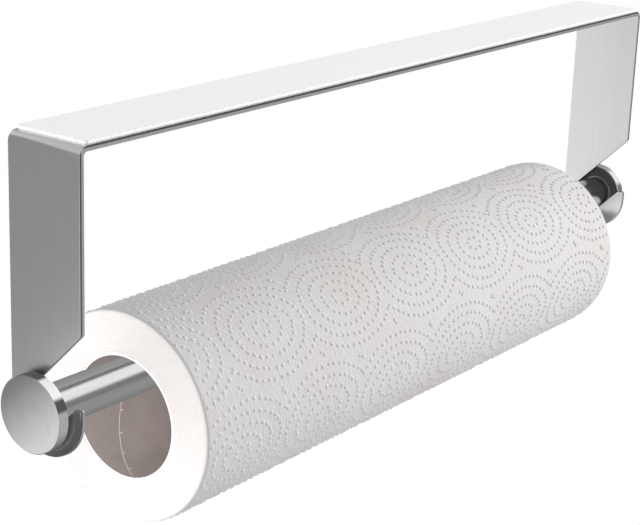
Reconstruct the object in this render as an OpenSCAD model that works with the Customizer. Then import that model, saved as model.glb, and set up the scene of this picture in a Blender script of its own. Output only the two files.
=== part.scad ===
// Under-cabinet paper towel holder: a bent steel strip that is stuck under a shelf, a rod with
// two end discs that drops into slots in its side plates, and a roll of paper hung on the rod.
// Millimetres. +Z is up, +X runs along the rod and -Y is the front.
// The origin is the centre of the top face, where the holder meets the shelf.

/* [Bracket] */
// Overall length, over the outer faces of the side plates
bracket_len = 365; // [320:1:460]
// Depth of the strip from front to back
bracket_depth = 31; // [26:0.5:42]
// Height of the side plates, from the top of the steel to the bottom of the foot
plate_height = 105.5; // [85:0.5:140]
// Thickness of the steel
sheet_t = 2; // [1.5:0.1:3]
// Inside radius of the two bends
bend_inner_r = 1.5; // [0.5:0.25:4]

/* [Rod slots] */
// Gap between the rod and each side of its slot
slot_gap = 0.75; // [0.4:0.05:1.2]
// Steel left between the seat and the back edge
seat_back_wall = 6; // [3:0.25:8]
// Slope of the slot above the horizontal
slot_angle = 45; // [35:1:55]
// How far the lip's flat tip lies above the seat's centre
lip_rise = 3.2; // [0:0.1:5]
// Radius of the corner between the front edge and the slot
slot_corner_r = 1.5; // [0.5:0.25:3]
// Radius of the two corners of the lip's tip
tip_corner_r = 0.6; // [0.2:0.1:1]
// Gap under the rod where it rests in its seat
rest_gap = 0.1; // [0.02:0.01:0.3]

/* [Adhesive] */
// Thickness of the foam pad
pad_t = 1.2; // [0.6:0.1:2.5]
// Thickness of the release liner
liner_t = 0.15; // [0.1:0.01:0.3]
// Steel left bare along the front and back edges of the pad
pad_margin = 0.5; // [0.2:0.1:3]
// Radius of the pad's corners
pad_corner_r = 1; // [0.5:0.25:3]

/* [Rod] */
// Outside diameter of the tube
rod_d = 14.5; // [11:0.5:17.5]
// Wall of the tube
rod_wall = 1; // [0.8:0.1:1.5]
// Sideways play between each end disc and its side plate
side_play = 1.5; // [0.3:0.1:3]

/* [End discs] */
// Diameter of the end discs
disc_d = 26.5; // [20:0.5:34]
// Thickness of the end discs
disc_t = 5; // [4:0.1:8]
// Chamfer on the rims of the discs
disc_chamfer = 0.3; // [0.1:0.05:0.6]

/* [Hidden fastening] */
// Length of the plug inside each end of the tube
plug_len = 14; // [10:0.5:20]
// Diameter of the set screw that joins disc and plug
stud_d = 6; // [5:0.5:6]
// How far the set screw goes into the disc
stud_in_disc = 3; // [2:0.25:3.25]
// How far the set screw goes into the plug
stud_in_plug = 11; // [8:0.5:12]
// Hexagon socket in the set screw, across flats
hex_af = 3; // [2:0.5:3]
// Depth of the hexagon socket
hex_depth = 3; // [2:0.5:4]

/* [Paper roll] */
// Length of the roll
roll_len = 279; // [220:1:300]
// Outside diameter of the roll
roll_d = 76.5; // [60:0.5:110]
// Inside diameter of the cardboard core
core_bore = 43.5; // [38:0.5:46]
// Wall of the cardboard core
core_wall = 0.8; // [0.5:0.1:1.5]
// Rounding of the paper's edges at the roll's ends
roll_edge_r = 1.5; // [0.5:0.25:4]
// How far the roll sits from the middle of the rod, along X
roll_shift = -5.5; // [-15:0.5:15]
// Gap between the top of the rod and the core that hangs on it
hang_gap = 0.3; // [0.1:0.05:0.6]

/* [Hidden] */
$fn = 96;
past = 1;                                        // how far a cutting body runs past a face
bend_outer_r = bend_inner_r + sheet_t;
steel_top = -pad_t - liner_t;                    // height of the steel's top face
foot_r = bracket_depth / 2;                      // the foot is a half circle as wide as the strip
foot_z = steel_top - plate_height + foot_r;      // centre of that half circle
slot_w = rod_d + 2 * slot_gap;
seat_y = bracket_depth / 2 - seat_back_wall - slot_w / 2;
seat_z = foot_z + slot_gap;                      // the rod then rests level with the foot's centre
rod_z = seat_z - slot_gap + rest_gap;
pad_len = bracket_len - 2 * bend_outer_r;
pad_depth = bracket_depth - 2 * pad_margin;
tube_len = bracket_len + 2 * side_play;
tube_bore = rod_d - 2 * rod_wall;
core_d = core_bore + 2 * core_wall;
roll_z = rod_z - (core_bore / 2 - rod_d / 2 - hang_gap);
steel = "silver";
satin_steel = "lightgray";
zinc = "darkgray";

// A cylinder along X, from x0 to x1
module x_cylinder(d, x0, x1) {
    translate([x0, 0, 0]) rotate([0, 90, 0]) cylinder(d = d, h = x1 - x0);
}

// Rounds a corner of a flat outline: the spike beyond the two tangent points is cut off,
// and the arc is put back. The corner is at p, and a and b are the directions of its sides.
module corner_cut(p, a, b, r) {
    half = acos(a * b) / 2;
    reach = r / tan(half);
    bisector = (a + b) / norm(a + b);
    centre = p + bisector * r / sin(half);
    difference() {
        polygon([p - bisector * 0.01, p + a * reach, centre, p + b * reach]);
        translate(centre) circle(r);
    }
}

// Side of the plate: first axis front to back, second axis height
module plate_outline() {
    front = -bracket_depth / 2;
    slope = [-cos(slot_angle), sin(slot_angle)];            // from the seat out to the front
    across = [sin(slot_angle), cos(slot_angle)];            // from the slot's lower to upper side
    seat = [seat_y, seat_z];
    upper = seat + across * slot_w / 2;
    lower = seat - across * slot_w / 2;
    out = slope * bracket_depth * 2;
    mouth_z = upper[1] + (upper[0] - front) * tan(slot_angle);   // slot meets the front edge
    tip_z = seat_z + lip_rise;
    tip_y = lower[0] - (tip_z - lower[1]) / tan(slot_angle);     // back corner of the lip's tip
    difference() {
        union() {
            translate([front, foot_z]) square([bracket_depth, steel_top - foot_z]);
            translate([0, foot_z]) circle(foot_r);
        }
        translate(seat) circle(d = slot_w);
        polygon([lower, upper, upper + out, lower + out]);
        polygon([[front - past, tip_z], [tip_y, tip_z], [tip_y, mouth_z - tip_y + front],
                 [front - past, mouth_z]]);
        corner_cut([front, mouth_z], [0, 1], -slope, slot_corner_r);
        corner_cut([tip_y, tip_z], [-1, 0], -slope, tip_corner_r);
        corner_cut([front, tip_z], [1, 0], [0, -1], tip_corner_r);
    }
}

// The strip seen from the front: top plate, two bends and two side plates
module strip_outline() {
    difference() {
        translate([-bracket_len / 2, steel_top - plate_height])
            square([bracket_len, plate_height]);
        translate([-bracket_len / 2 + sheet_t, steel_top - plate_height - past])
            square([bracket_len - 2 * sheet_t, plate_height - sheet_t - bend_inner_r + past]);
        translate([-bracket_len / 2 + sheet_t + bend_inner_r, steel_top - plate_height])
            square([bracket_len - 2 * (sheet_t + bend_inner_r), plate_height - sheet_t]);
        for (side = [-1, 1]) translate([side * (bracket_len / 2 - bend_outer_r), steel_top - bend_outer_r]) {
            circle(bend_inner_r);
            difference() {
                translate([side > 0 ? 0 : -bend_outer_r - past, 0]) square(bend_outer_r + past);
                circle(bend_outer_r);
            }
        }
    }
}

module bracket() {
    color(steel) intersection() {
        translate([0, bracket_depth / 2 + past, 0]) rotate([90, 0, 0])
            linear_extrude(bracket_depth + 2 * past) strip_outline();
        translate([-bracket_len / 2 - past, 0, 0]) rotate([90, 0, 90])
            linear_extrude(bracket_len + 2 * past) plate_outline();
    }
}

// A flat layer with round corners over the flat of the top plate, from z0 to z1
module top_layer(z0, z1) {
    x = pad_len / 2 - pad_corner_r;
    y = pad_depth / 2 - pad_corner_r;
    translate([0, 0, z0]) linear_extrude(z1 - z0) union() {
        square([pad_len, 2 * y], center = true);
        square([2 * x, pad_depth], center = true);
        for (sx = [-1, 1], sy = [-1, 1]) translate([sx * x, sy * y]) circle(pad_corner_r);
    }
}

module adhesive_pad() {
    color("white") top_layer(steel_top, -liner_t);
}

module release_liner() {
    color("whitesmoke") top_layer(-liner_t, 0);
}

// Puts a piece that is drawn at the origin on the rod's axis
module on_rod() {
    translate([0, seat_y, rod_z]) children();
}

// Turns a right-hand piece round for the left end
module at_end(side) {
    on_rod() rotate([0, 0, side > 0 ? 0 : 180]) translate([tube_len / 2, 0, 0]) children();
}

module rod_tube() {
    color(satin_steel) on_rod() difference() {
        x_cylinder(rod_d, -tube_len / 2, tube_len / 2);
        x_cylinder(tube_bore, -tube_len / 2 - past, tube_len / 2 + past);
    }
}

// At the end of the tube, inside it, flush with the tube's end face
module tube_plug() {
    difference() {
        x_cylinder(tube_bore, -plug_len, 0);
        x_cylinder(stud_d, -plug_len - past, past);
    }
}

// Headless screw with a hexagon socket in the end that faces into the tube
module stud() {
    difference() {
        x_cylinder(stud_d, -stud_in_plug, stud_in_disc);
        translate([-stud_in_plug - past, 0, 0]) rotate([0, 90, 0])
            cylinder(d = hex_af / cos(30), h = hex_depth + past, $fn = 6);
    }
}

// Disc with chamfered rims and a blind hole for the screw in its inner face
module end_disc() {
    straight = disc_t - 2 * disc_chamfer;
    difference() {
        rotate([0, 90, 0]) union() {
            cylinder(d1 = disc_d - 2 * disc_chamfer, d2 = disc_d, h = disc_chamfer);
            translate([0, 0, disc_chamfer]) cylinder(d = disc_d, h = straight);
            translate([0, 0, disc_t - disc_chamfer])
                cylinder(d1 = disc_d, d2 = disc_d - 2 * disc_chamfer, h = disc_chamfer);
        }
        x_cylinder(stud_d, -past, stud_in_disc);
    }
}

module left_tube_plug() { color(zinc) at_end(-1) tube_plug(); }
module right_tube_plug() { color(zinc) at_end(1) tube_plug(); }
module left_stud() { color("dimgray") at_end(-1) stud(); }
module right_stud() { color("dimgray") at_end(1) stud(); }
module left_end_disc() { color(steel) at_end(-1) end_disc(); }
module right_end_disc() { color(steel) at_end(1) end_disc(); }

// A tube along X about the roll's axis, with its outer rims rounded
module roll_shell(outer_d, inner_d, edge_r) {
    half = roll_len / 2;
    translate([roll_shift, seat_y, roll_z]) rotate([0, 90, 0]) rotate_extrude() union() {
        translate([inner_d / 2, -half]) square([(outer_d - inner_d) / 2 - edge_r, roll_len]);
        translate([inner_d / 2, -half + edge_r])
            square([(outer_d - inner_d) / 2, roll_len - 2 * edge_r]);
        for (end = [-1, 1])
            translate([outer_d / 2 - edge_r, end * (half - edge_r)]) circle(edge_r);
    }
}

module cardboard_core() {
    color("rosybrown") translate([roll_shift, seat_y, roll_z]) difference() {
        x_cylinder(core_d, -roll_len / 2, roll_len / 2);
        x_cylinder(core_bore, -roll_len / 2 - past, roll_len / 2 + past);
    }
}

module paper_roll() {
    color("snow") roll_shell(roll_d, core_d, roll_edge_r);
}

bracket();
adhesive_pad();
release_liner();
rod_tube();
left_tube_plug();
right_tube_plug();
left_stud();
right_stud();
left_end_disc();
right_end_disc();
cardboard_core();
paper_roll();
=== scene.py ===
# %% [markdown]
# # A paper towel holder that hangs under a shelf
#
# The real object is a strip of brushed stainless steel, bent at both ends into side plates. A
# foam tape sticks it under a shelf, a steel rod with two turned end discs lies in slots in the
# plates, and a roll of embossed kitchen paper hangs on the rod. The design, its sizes and its
# joints come from the CAD model. This lesson dresses that model: it rebuilds the pieces whose
# edges and surfaces the eye meets, gives every piece a real finish, and lights them.

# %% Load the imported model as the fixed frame
import math

import bmesh
import bpy
from mathutils import Matrix, Vector


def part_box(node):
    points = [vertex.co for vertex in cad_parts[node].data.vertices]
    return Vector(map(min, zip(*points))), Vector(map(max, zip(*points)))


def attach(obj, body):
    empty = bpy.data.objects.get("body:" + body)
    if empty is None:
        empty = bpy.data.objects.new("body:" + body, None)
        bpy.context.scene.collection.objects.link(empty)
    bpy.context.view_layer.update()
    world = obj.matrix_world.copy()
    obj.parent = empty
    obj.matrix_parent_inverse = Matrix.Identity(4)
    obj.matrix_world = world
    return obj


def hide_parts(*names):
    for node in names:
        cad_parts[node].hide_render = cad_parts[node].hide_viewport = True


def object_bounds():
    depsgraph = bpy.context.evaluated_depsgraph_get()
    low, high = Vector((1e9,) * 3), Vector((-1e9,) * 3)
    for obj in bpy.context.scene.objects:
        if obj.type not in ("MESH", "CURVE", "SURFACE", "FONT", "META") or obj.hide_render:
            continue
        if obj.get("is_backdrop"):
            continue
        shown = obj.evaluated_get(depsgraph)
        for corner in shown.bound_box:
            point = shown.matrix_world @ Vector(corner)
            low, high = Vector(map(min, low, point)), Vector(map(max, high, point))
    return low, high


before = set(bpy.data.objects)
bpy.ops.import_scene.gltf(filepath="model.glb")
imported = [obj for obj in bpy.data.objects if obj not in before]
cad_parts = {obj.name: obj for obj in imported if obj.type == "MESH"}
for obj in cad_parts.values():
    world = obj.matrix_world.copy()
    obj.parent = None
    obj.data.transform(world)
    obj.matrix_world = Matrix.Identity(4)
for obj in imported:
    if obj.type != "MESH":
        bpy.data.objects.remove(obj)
cad_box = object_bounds()
scene = bpy.context.scene
print("CAD box:", [tuple(round(c, 4) for c in corner) for corner in cad_box])

# %% [markdown]
# ## Sizes
#
# Blender works in metres and a maker thinks in millimetres, so one helper turns one into the
# other. Every place is read from the boxes of the CAD nodes: the rod's axis is the middle of
# the tube's box, and the roll's axis is the middle of the paper's box, which hangs lower.

# %% Read the driving sizes from the frame
def mm(length):
    """Millimetres to metres."""
    return length / 1000


class Turned:
    """A round CAD node along X: its ends, its axis and its radius."""

    def __init__(self, node):
        low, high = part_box(node)
        self.left, self.right = low.x, high.x
        self.length = high.x - low.x
        self.middle = (low.x + high.x) / 2
        self.y = (low.y + high.y) / 2
        self.z = (low.z + high.z) / 2
        self.radius = (high.z - low.z) / 2


rod = Turned("rod_tube")
plug = Turned("left_tube_plug")
stud = Turned("left_stud")
left_disc = Turned("left_end_disc")
right_disc = Turned("right_end_disc")
core = Turned("cardboard_core")
paper = Turned("paper_roll")
print(f"rod: {rod.radius * 2000:.1f} mm across, {rod.length * 1000:.0f} mm long")
print(f"roll: {paper.radius * 2000:.1f} mm across, {paper.length * 1000:.0f} mm long")

# %% [markdown]
# ## Node trees
#
# Shaders and Geometry Nodes are both trees of nodes. One small function adds a node, sets its
# properties, and fills its inputs: a value is set on the socket, and a socket is linked to it.

# %% Add one node
def add(tree, kind, inputs=None, **settings):
    """A new node of this kind, with its settings, input values and links."""
    node = tree.nodes.new(kind)
    for name, value in settings.items():
        setattr(node, name, value)
    for key, value in (inputs or {}).items():
        if isinstance(value, bpy.types.NodeSocket):
            tree.links.new(value, node.inputs[key])
        else:
            node.inputs[key].default_value = value
    return node


def maths(tree, operation, first, second=0.0):
    """The result of one Math node."""
    return add(tree, "ShaderNodeMath", {0: first, 1: second}, operation=operation).outputs["Value"]


def average(tree, first, second):
    """Halfway between two values."""
    return maths(tree, "MULTIPLY", maths(tree, "ADD", first, second), 0.5)


def linear(code, alpha=1.0):
    """An sRGB colour such as "8E8E8E" as linear red, green, blue and alpha."""
    parts = [int(code[i:i + 2], 16) / 255 for i in (0, 2, 4)]
    lit = [c / 12.92 if c <= 0.04045 else ((c + 0.055) / 1.055) ** 2.4 for c in parts]
    return (*lit, alpha)


# %% Start a material
def start_material(name):
    """A material with an empty Principled surface: the material, its tree, the shader, the place."""
    material = bpy.data.materials.new(name)
    material.use_nodes = True
    tree = material.node_tree
    place = add(tree, "ShaderNodeTexCoord").outputs["Object"]
    return material, tree, tree.nodes["Principled BSDF"], place


def streaks(tree, place, grain, width):
    """Fine grain: noise that is as fine as width (mm) across and stretched along one axis.

    grain holds how many widths long a streak is along X, Y and Z.
    """
    scale = [1 / (mm(width) * times) for times in grain]
    stretched = add(tree, "ShaderNodeMapping", {"Vector": place, "Scale": scale}, vector_type="POINT")
    inputs = {"Vector": stretched.outputs["Vector"], "Scale": 1.0, "Detail": 3.0, "Roughness": 0.6}
    return add(tree, "ShaderNodeTexNoise", inputs).outputs["Fac"]


def blotches(tree, place, size, detail=2.0):
    """Soft variation as wide as size (mm)."""
    inputs = {"Vector": place, "Scale": 1 / mm(size), "Detail": detail, "Roughness": 0.5}
    return add(tree, "ShaderNodeTexNoise", inputs).outputs["Fac"]


def shade_between(tree, factor, dark, light, low=0.3, high=0.7):
    """A colour that goes from dark to light as factor goes from low to high."""
    ramp = add(tree, "ShaderNodeValToRGB", {"Fac": factor})
    ramp.color_ramp.elements[0].position = low
    ramp.color_ramp.elements[0].color = linear(dark)
    ramp.color_ramp.elements[1].position = high
    ramp.color_ramp.elements[1].color = linear(light)
    return ramp.outputs["Color"]


def value_between(tree, factor, low, high):
    """A number that goes from low to high as factor goes from 0.3 to 0.7."""
    inputs = {"Value": factor, "From Min": 0.3, "From Max": 0.7, "To Min": low, "To Max": high}
    return add(tree, "ShaderNodeMapRange", inputs).outputs["Result"]


def relief(tree, height, depth, strength=1.0):
    """A bump from a height between 0 and 1, where 1 stands depth (mm) proud."""
    inputs = {"Height": height, "Distance": mm(depth), "Strength": strength}
    return add(tree, "ShaderNodeBump", inputs).outputs["Normal"]


def metal(shader, anisotropic, rotation):
    """Makes the shader a bare metal whose highlight is drawn out across its grain."""
    shader.inputs["Metallic"].default_value = 1.0
    shader.inputs["Anisotropic"].default_value = anisotropic
    shader.inputs["Anisotropic Rotation"].default_value = rotation


# %% [markdown]
# ## The finishes of the steel
#
# The strip is 304 stainless sheet with a number 4 finish: a belt brushes it along its length, so
# reflections smear across the grain and stay sharp along it. Real brush marks are about 0.05 mm
# wide, too fine to show, so they are drawn four times as wide, over bands that are broader
# still. The edges of the strip are cut, not brushed, so they are duller and marked across their
# thickness. Next to the outer face they also carry a band of painted shade, as dark as the
# shadow line along the foam pad's edge.

# %% Brushed stainless sheet
def brushed_stainless_sheet():
    material, tree, shader, place = start_material("brushed_stainless_sheet")
    fine = streaks(tree, place, (90, 1, 90), 0.2)
    wide = streaks(tree, place, (60, 1, 60), 1.6)
    mean = average(tree, fine, wide)
    tree.links.new(shade_between(tree, mean, "DCDCDB", "E4E4E3"), shader.inputs["Base Color"])
    tree.links.new(value_between(tree, mean, 0.31, 0.27), shader.inputs["Roughness"])
    tree.links.new(relief(tree, fine, 0.002), shader.inputs["Normal"])
    tangent = add(tree, "ShaderNodeTangent", direction_type="UV_MAP", uv_map="along_strip")
    tree.links.new(tangent.outputs["Tangent"], shader.inputs["Tangent"])
    metal(shader, 0.6, 0.25)
    return material


# Painted shade: the dull band next to the outer face is also painted dark, as a shadow line.
shaded_band_depth = mm(0.65)       # of the dull band, from the outer face


def cut_steel_edge():
    """Sheared edge: a dull torn band, painted dark as shade, by the outer face; the rest burnished."""
    material, tree, shader, place = start_material("cut_steel_edge")
    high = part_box("bracket")[1]
    x, y, z = add(tree, "ShaderNodeSeparateXYZ", {0: place}).outputs
    below_top = maths(tree, "SUBTRACT", high.z, z)
    inside_end = maths(tree, "SUBTRACT", high.x, maths(tree, "ABSOLUTE", x))
    depth = maths(tree, "MINIMUM", below_top, inside_end)
    step = {"Value": depth, "From Min": shaded_band_depth, "From Max": shaded_band_depth + mm(0.3)}
    burnished = add(tree, "ShaderNodeMapRange", step).outputs["Result"]
    marks = streaks(tree, place, (1, 3, 3), 0.5)
    # Painted shade: near-black steel along the outer face, a shadow line put into the colour.
    torn_and_shaded = shade_between(tree, marks, "5C5C5B", "747473")
    bright = shade_between(tree, marks, "BEBEBD", "D2D2D1")
    shades = {0: burnished, 6: torn_and_shaded, 7: bright}
    colour = add(tree, "ShaderNodeMix", shades, data_type="RGBA").outputs[2]
    tree.links.new(colour, shader.inputs["Base Color"])
    tree.links.new(value_between(tree, marks, 0.6, 0.5), shader.inputs["Roughness"])
    tree.links.new(relief(tree, marks, 0.01), shader.inputs["Normal"])
    metal(shader, 0.0, 0.0)
    return material


# %% [markdown]
# The rod is welded stainless tube, polished lengthways to a satin, so its bands of light are
# soft. The end discs are turned on a lathe: the tool leaves rings round the axis, the rim keeps
# crisp bands of light, and the flat face shades like the face of any turned part.

# %% Satin tube and turned discs
def ring_grain(tree, place, axis, width):
    """Rings round an axis along X, as fine as width (mm): noise of the distance from the axis."""
    from_axis = {0: place, 1: (0, axis.y, axis.z)}
    centred = add(tree, "ShaderNodeVectorMath", from_axis, operation="SUBTRACT").outputs[0]
    without_x = {0: centred, 1: (0, 1, 1)}
    across = add(tree, "ShaderNodeVectorMath", without_x, operation="MULTIPLY").outputs[0]
    reach = add(tree, "ShaderNodeVectorMath", {0: across}, operation="LENGTH").outputs["Value"]
    inputs = {"W": reach, "Scale": 1 / mm(width), "Detail": 2.0}
    return add(tree, "ShaderNodeTexNoise", inputs, noise_dimensions="1D").outputs["Fac"]


def satin_stainless_tube():
    material, tree, shader, place = start_material("satin_stainless_tube")
    fine = streaks(tree, place, (120, 1, 1), 0.25)
    tree.links.new(shade_between(tree, fine, "BDBDBC", "CFCFCE"), shader.inputs["Base Color"])
    tree.links.new(value_between(tree, fine, 0.22, 0.16), shader.inputs["Roughness"])
    tree.links.new(relief(tree, fine, 0.004), shader.inputs["Normal"])
    metal(shader, 0.0, 0.0)
    return material


def turned_stainless():
    material, tree, shader, place = start_material("turned_stainless")
    rings = ring_grain(tree, place, rod, 0.25)
    rim = streaks(tree, place, (1, 60, 60), 0.2)
    mean = average(tree, rings, rim)
    tree.links.new(shade_between(tree, mean, "C2C2C1", "D0D0CF"), shader.inputs["Base Color"])
    tree.links.new(value_between(tree, mean, 0.22, 0.15), shader.inputs["Roughness"])
    tree.links.new(relief(tree, mean, 0.003), shader.inputs["Normal"])
    metal(shader, 0.0, 0.0)
    return material


# %% [markdown]
# The plugs and set screws hold the discs to the tube and hardly show. The plugs are turned
# steel with bright zinc plating, and the set screws are black oxide, dark with worn high spots.

# %% Zinc plate and black oxide
def zinc_plated_steel():
    material, tree, shader, place = start_material("zinc_plated_steel")
    cloud = blotches(tree, place, 2.5)
    tree.links.new(shade_between(tree, cloud, "A3A8AC", "BFC3C5"), shader.inputs["Base Color"])
    tree.links.new(value_between(tree, cloud, 0.42, 0.3), shader.inputs["Roughness"])
    tree.links.new(relief(tree, ring_grain(tree, place, rod, 0.3), 0.01), shader.inputs["Normal"])
    metal(shader, 0.0, 0.0)
    return material


def black_oxide_steel():
    material, tree, shader, place = start_material("black_oxide_steel")
    wear = blotches(tree, place, 1.2)
    tree.links.new(shade_between(tree, wear, "1C1C1D", "3A3A3B"), shader.inputs["Base Color"])
    tree.links.new(value_between(tree, wear, 0.55, 0.4), shader.inputs["Roughness"])
    tree.links.new(relief(tree, wear, 0.01), shader.inputs["Normal"])
    metal(shader, 0.0, 0.0)
    return material


# %% [markdown]
# ## The finishes of tape and paper
#
# The tape is white acrylic foam with closed cells about 0.2 mm wide, under a siliconed paper
# liner that is slightly glossy. The core is grey chipboard, with fibres wound round it on a
# slant. The kitchen paper is crepe: soft, matt, and wrinkled every half millimetre.

# %% Foam, liner, board and paper
def foam_tape():
    material, tree, shader, place = start_material("foam_tape")
    cells = add(tree, "ShaderNodeTexVoronoi", {"Vector": place, "Scale": 1 / mm(0.4)}).outputs["Distance"]
    tree.links.new(shade_between(tree, cells, "FAFAF9", "FFFFFF"), shader.inputs["Base Color"])
    tree.links.new(relief(tree, cells, 0.05), shader.inputs["Normal"])
    shader.inputs["Roughness"].default_value = 0.8
    return material


def release_paper():
    material, tree, shader, place = start_material("release_paper")
    fibres = blotches(tree, place, 0.8, 4.0)
    tree.links.new(shade_between(tree, fibres, "EAEAEA", "EFEFEF"), shader.inputs["Base Color"])
    tree.links.new(value_between(tree, fibres, 0.5, 0.42), shader.inputs["Roughness"])
    tree.links.new(relief(tree, fibres, 0.01), shader.inputs["Normal"])
    shader.inputs["Specular IOR Level"].default_value = 0.2
    return material


def core_board():
    material, tree, shader, place = start_material("core_board")
    fibres = streaks(tree, place, (1, 8, 8), 0.3)
    cloud = blotches(tree, place, 7)
    mean = average(tree, fibres, cloud)
    tree.links.new(shade_between(tree, mean, "A59B97", "B5ABA6"), shader.inputs["Base Color"])
    tree.links.new(relief(tree, fibres, 0.03), shader.inputs["Normal"])
    shader.inputs["Roughness"].default_value = 0.9
    return material


def torn_board_edge():
    """The paler torn fibres where one winding of the core's board meets the next."""
    material, tree, shader, place = start_material("torn_board_edge")
    fibres = blotches(tree, place, 0.6, 4.0)
    tree.links.new(shade_between(tree, fibres, "CDBFB8", "E0D6D0"), shader.inputs["Base Color"])
    tree.links.new(relief(tree, fibres, 0.04), shader.inputs["Normal"])
    shader.inputs["Roughness"].default_value = 0.95
    return material


def paper_material(name, dark, light, wrinkle):
    """Crepe paper between two near whites, with a warm cloud a few centimetres wide.

    wrinkle is how deep (mm) the creping is: short folds that run round the roll.
    """
    material, tree, shader, place = start_material(name)
    crepe = blotches(tree, place, 0.7, 3.0)
    folds = streaks(tree, place, (1, 3, 3), 1.3)
    height = average(tree, crepe, folds)
    cloud = blotches(tree, place, 35)
    tree.links.new(shade_between(tree, cloud, dark, light), shader.inputs["Base Color"])
    tree.links.new(relief(tree, height, wrinkle), shader.inputs["Normal"])
    shader.inputs["Roughness"].default_value = 0.95
    shader.inputs["Specular IOR Level"].default_value = 0.2
    return material


steel_sheet = brushed_stainless_sheet()
steel_edge = cut_steel_edge()
steel_tube = satin_stainless_tube()
steel_disc = turned_stainless()
zinc = zinc_plated_steel()
black_oxide = black_oxide_steel()
foam = foam_tape()
liner_paper = release_paper()
board = core_board()
board_edge = torn_board_edge()
embossed_paper = paper_material("embossed_paper", "E6E2E1", "E9E9E9", 0.42)
# A lighter copy of the same paper: painted light, as the roll's ends look whiter only from light.
paper_painted_lighter = paper_material("paper_end_painted_lighter", "FBF5F4", "FDFBFA", 0.14)
print("materials:", ", ".join(material.name for material in bpy.data.materials))


# %% Put a finished mesh in the scene
def piece(name, mesh, body, replaced=()):
    """An object for a finished mesh that rides on a body and stands for some CAD nodes."""
    mesh.name = name
    made = bpy.data.objects.new(name, mesh)
    scene.collection.objects.link(made)
    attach(made, body)
    if replaced:
        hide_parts(*replaced)
    triangles = sum(len(face.vertices) - 2 for face in mesh.polygons)
    print(f"{name}: {triangles} triangles on {body}")
    return made


# %% [markdown]
# ## The bracket
#
# On the real object one blank is cut from sheet, brushed, bent twice and deburred. The CAD node
# already has its exact shape, in loose triangles. A copy is merged, its flat faces are dissolved
# to one polygon each, and a Bevel modifier breaks the edges by 0.15 mm, as a deburring wheel
# does, so that the edges catch a thin line of light. Its UV map runs along the strip, round the
# bends, which tells the shader which way the grain goes.

# %% Merge a copy of a CAD node and break its edges
def merged_copy(node):
    """A clean copy of a CAD node's mesh: doubles merged and flat faces joined."""
    mesh = bmesh.new()
    mesh.from_mesh(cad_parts[node].data)
    bmesh.ops.remove_doubles(mesh, verts=mesh.verts, dist=mm(0.001))
    flat = math.radians(0.5)
    bmesh.ops.dissolve_limit(mesh, angle_limit=flat, verts=mesh.verts, edges=mesh.edges)
    return mesh


WIDEST_ROUNDED_FACE = mm(60) * mm(1)     # larger faces are flat, and are shaded flat
SHARP_EDGE = math.radians(30)


def broken_edges(mesh, name, width, segments=2):
    """A mesh datablock whose sharp edges are rounded to width."""
    data = bpy.data.meshes.new(name)
    mesh.to_mesh(data)
    mesh.free()
    holder = bpy.data.objects.new(name, data)
    scene.collection.objects.link(holder)
    bevel = holder.modifiers.new("broken_edges", "BEVEL")
    bevel.width = width
    bevel.segments = segments
    bevel.limit_method = "ANGLE"
    bevel.angle_limit = SHARP_EDGE
    bevel.harden_normals = True
    data.polygons.foreach_set("use_smooth", [True] * len(data.polygons))
    finished = baked(holder)
    bpy.data.objects.remove(holder)
    for face in finished.polygons:
        face.use_smooth = face.area < WIDEST_ROUNDED_FACE
    return finished


def baked(holder):
    """The object's mesh with its modifiers applied, as a new datablock."""
    graph = bpy.context.evaluated_depsgraph_get()
    return bpy.data.meshes.new_from_object(holder.evaluated_get(graph), depsgraph=graph)


bend_radius = mm(3.5)       # of the outer face
grain_slant = 0.2           # the belt leans this much from straight down, on the plates
edge_below = mm(8)          # lower than this, every face that looks sideways is a cut edge


def strip_map(data, high):
    """A UV map whose U runs along the strip, down one plate, over the top and down the other."""
    layer = data.uv_layers.new(name="along_strip")
    turn = high.x - bend_radius
    for loop in data.loops:
        x, y, z = data.vertices[loop.vertex_index].co
        over = max(0.0, abs(x) - turn)
        down = high.z - z
        along = math.copysign(min(abs(x), turn) + over + down, x)
        layer.data[loop.index].uv = (along, y + grain_slant * (over - down))


def build_bracket():
    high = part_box("bracket")[1]
    data = broken_edges(merged_copy("bracket"), "bracket_mesh", mm(0.15))
    strip_map(data, high)
    data.materials.clear()
    data.materials.append(steel_sheet)
    data.materials.append(steel_edge)
    for face in data.polygons:
        looks_sideways = math.hypot(face.normal.x, face.normal.z) < 0.5
        on_foot_or_slot = face.center.z < high.z - edge_below and abs(face.normal.x) < 0.7
        face.material_index = 1 if looks_sideways or on_foot_or_slot else 0
    return piece("bracket_sheet", data, "holder", ["bracket"])


bracket = build_bracket()

# %% [markdown]
# ## The tape and its liner
#
# Both are die-cut from one laminate, so they share an outline with rounded corners. Copies of
# the CAD nodes get their edges broken: by 0.25 mm on the soft foam and by a hair on the liner.

# %% Foam pad and liner
pad_mesh = broken_edges(merged_copy("adhesive_pad"), "pad_mesh", mm(0.25), segments=3)
pad_mesh.materials.clear()
pad_mesh.materials.append(foam)
foam_pad = piece("foam_pad", pad_mesh, "holder", ["adhesive_pad"])

liner_mesh = broken_edges(merged_copy("release_liner"), "liner_mesh", mm(0.03), segments=1)
liner_mesh.materials.clear()
liner_mesh.materials.append(liner_paper)
liner = piece("liner_sheet", liner_mesh, "holder", ["release_liner"])

# %% [markdown]
# ## Turned pieces
#
# The tube, the discs and their small parts are bodies of revolution. Each is drawn as half a
# section, a list of places along the axis and distances from it, and spun round the axis in
# code. Sharp corners keep sharp shading because the edges there are marked sharp.

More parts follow.
